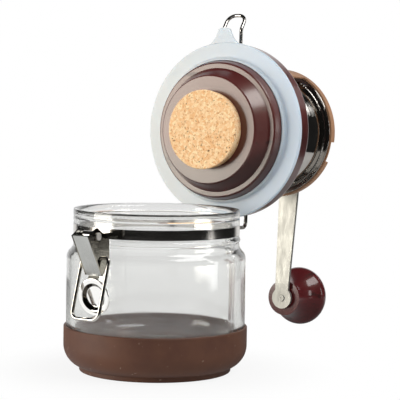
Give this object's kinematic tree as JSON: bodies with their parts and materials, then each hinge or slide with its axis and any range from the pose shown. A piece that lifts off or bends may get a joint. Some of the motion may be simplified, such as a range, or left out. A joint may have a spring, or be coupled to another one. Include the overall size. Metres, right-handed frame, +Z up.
{
  "type": "hand crank coffee grinder",
  "caption": "Hand crank coffee mill built into the hinged wooden lid of a clip-top glass jar with a silicone base sleeve, steel hopper, ball-knob crank and cork-stopped outlet.",
  "frame": {"origin": "centre of the flat underside of the silicone base sleeve", "axes": "+Z up along the jar's axis, +Y from the latch toward the lid hinge, X along the hinge"},
  "size_m": [0.11, 0.2631, 0.2131],
  "materials": {
    "clear_glass": "gloss",
    "brown_silicone": "matte",
    "clear_silicone": "satin",
    "polished_steel": "polished",
    "latch_steel": "satin",
    "crank_steel": "satin",
    "stained_wood": "satin",
    "knob_end_wood": "satin",
    "cork": "matte",
    "burr_ceramic": "matte",
    "black_plastic": "matte",
    "shaft_steel": "satin",
    "bush_brass": "satin"
  },
  "bodies": {
    "jar": {"glass_jar": "clear_glass", "silicone_base": "brown_silicone", "neck_band": "polished_steel", "latch_bracket": "latch_steel", "hinge_bracket": "latch_steel"},
    "lever": {"latch_lever": "latch_steel", "lever_pin": "polished_steel"},
    "loop": {"latch_loop": "polished_steel"},
    "lid": {"wooden_lid": "stained_wood", "lid_gasket": "clear_silicone", "latch_hook": "polished_steel", "hinge_wire": "polished_steel", "bean_hopper": "polished_steel", "cover_ring": "brown_silicone", "cover_plate": "black_plastic", "burr_housing": "black_plastic", "outer_burr": "burr_ceramic", "bearing_spider": "shaft_steel", "lower_bush": "bush_brass", "upper_bridge": "shaft_steel", "upper_bush": "bush_brass", "hopper_screws": "shaft_steel"},
    "crank": {"drive_shaft": "shaft_steel", "inner_burr": "burr_ceramic", "burr_spring": "shaft_steel", "drive_washer": "shaft_steel", "crank_arm": "crank_steel", "crank_nut": "polished_steel", "knob_bolt": "crank_steel", "knob_washer": "shaft_steel"},
    "adjuster": {"adjuster_nut": "black_plastic"},
    "knob": {"crank_knob": "stained_wood", "knob_bush": "black_plastic", "knob_cap": "knob_end_wood"},
    "cork": {"cork_stopper": "cork"}
  },
  "joints": [
    {"name": "lid_hinge", "type": "hinge", "parent": "jar", "child": "lid", "pos_m": [0, 0.058, 0.08245], "axis": [-1, 0, 0], "range_deg": [-92, 0]},
    {"name": "lever_swing", "type": "hinge", "parent": "jar", "child": "lever", "pos_m": [0, -0.0662, 0.08355], "axis": [-1, 0, 0], "range_deg": [0, 110]},
    {"name": "loop_swing", "type": "hinge", "parent": "lever", "child": "loop", "pos_m": [0, -0.06, 0.07125], "axis": [1, 0, 0], "range_deg": [-163, 0]},
    {"name": "crank_turn", "type": "hinge", "parent": "lid", "child": "crank", "pos_m": [0, 0.07272, 0.13997], "axis": [0, 0.9994, -0.0349], "continuous": true},
    {"name": "grind_adjust", "type": "hinge", "parent": "crank", "child": "adjuster", "pos_m": [0, 0.07272, 0.13997], "axis": [0, 0.9994, -0.0349], "range_deg": [-180, 180]},
    {"name": "knob_spin", "type": "hinge", "parent": "crank", "child": "knob", "pos_m": [0, 0.06886, 0.02944], "axis": [0, 0.9994, -0.0349], "continuous": true},
    {"name": "cork_pull", "type": "slide", "parent": "lid", "child": "cork", "axis": [0, -0.9994, 0.0349], "range_m": [0, 0.03]}
  ]
}
